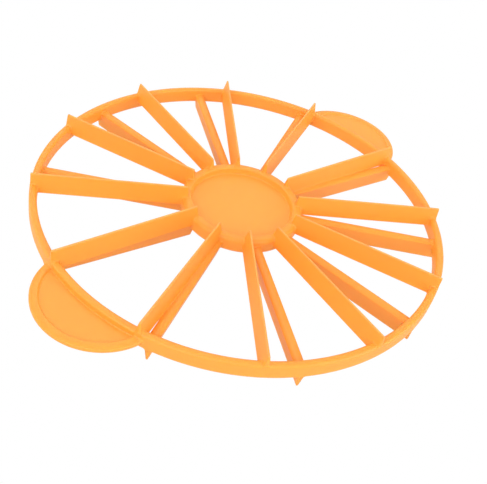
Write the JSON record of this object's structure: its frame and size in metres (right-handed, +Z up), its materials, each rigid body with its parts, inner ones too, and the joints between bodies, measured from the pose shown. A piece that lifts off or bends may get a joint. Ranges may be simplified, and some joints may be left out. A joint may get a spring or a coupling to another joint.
{
  "type": "cake portion marker",
  "caption": "Round double-sided marker that presses equal portion lines into a cake: a ring and a hub joined by wedge blades on both faces, with two side grips.",
  "frame": {"origin": "centre of the hub on the mid-plane, halfway between the upper and lower blade tips", "axes": "+X through one grip, +Y across the grips, +Z up through the side with more blades"},
  "size_m": [0.319, 0.265, 0.025],
  "materials": {
    "orange_plastic": "satin moulded plastic, orange through and through"
  },
  "bodies": {
    "root": {"portion_marker": "orange_plastic"}
  },
  "joints": []
}
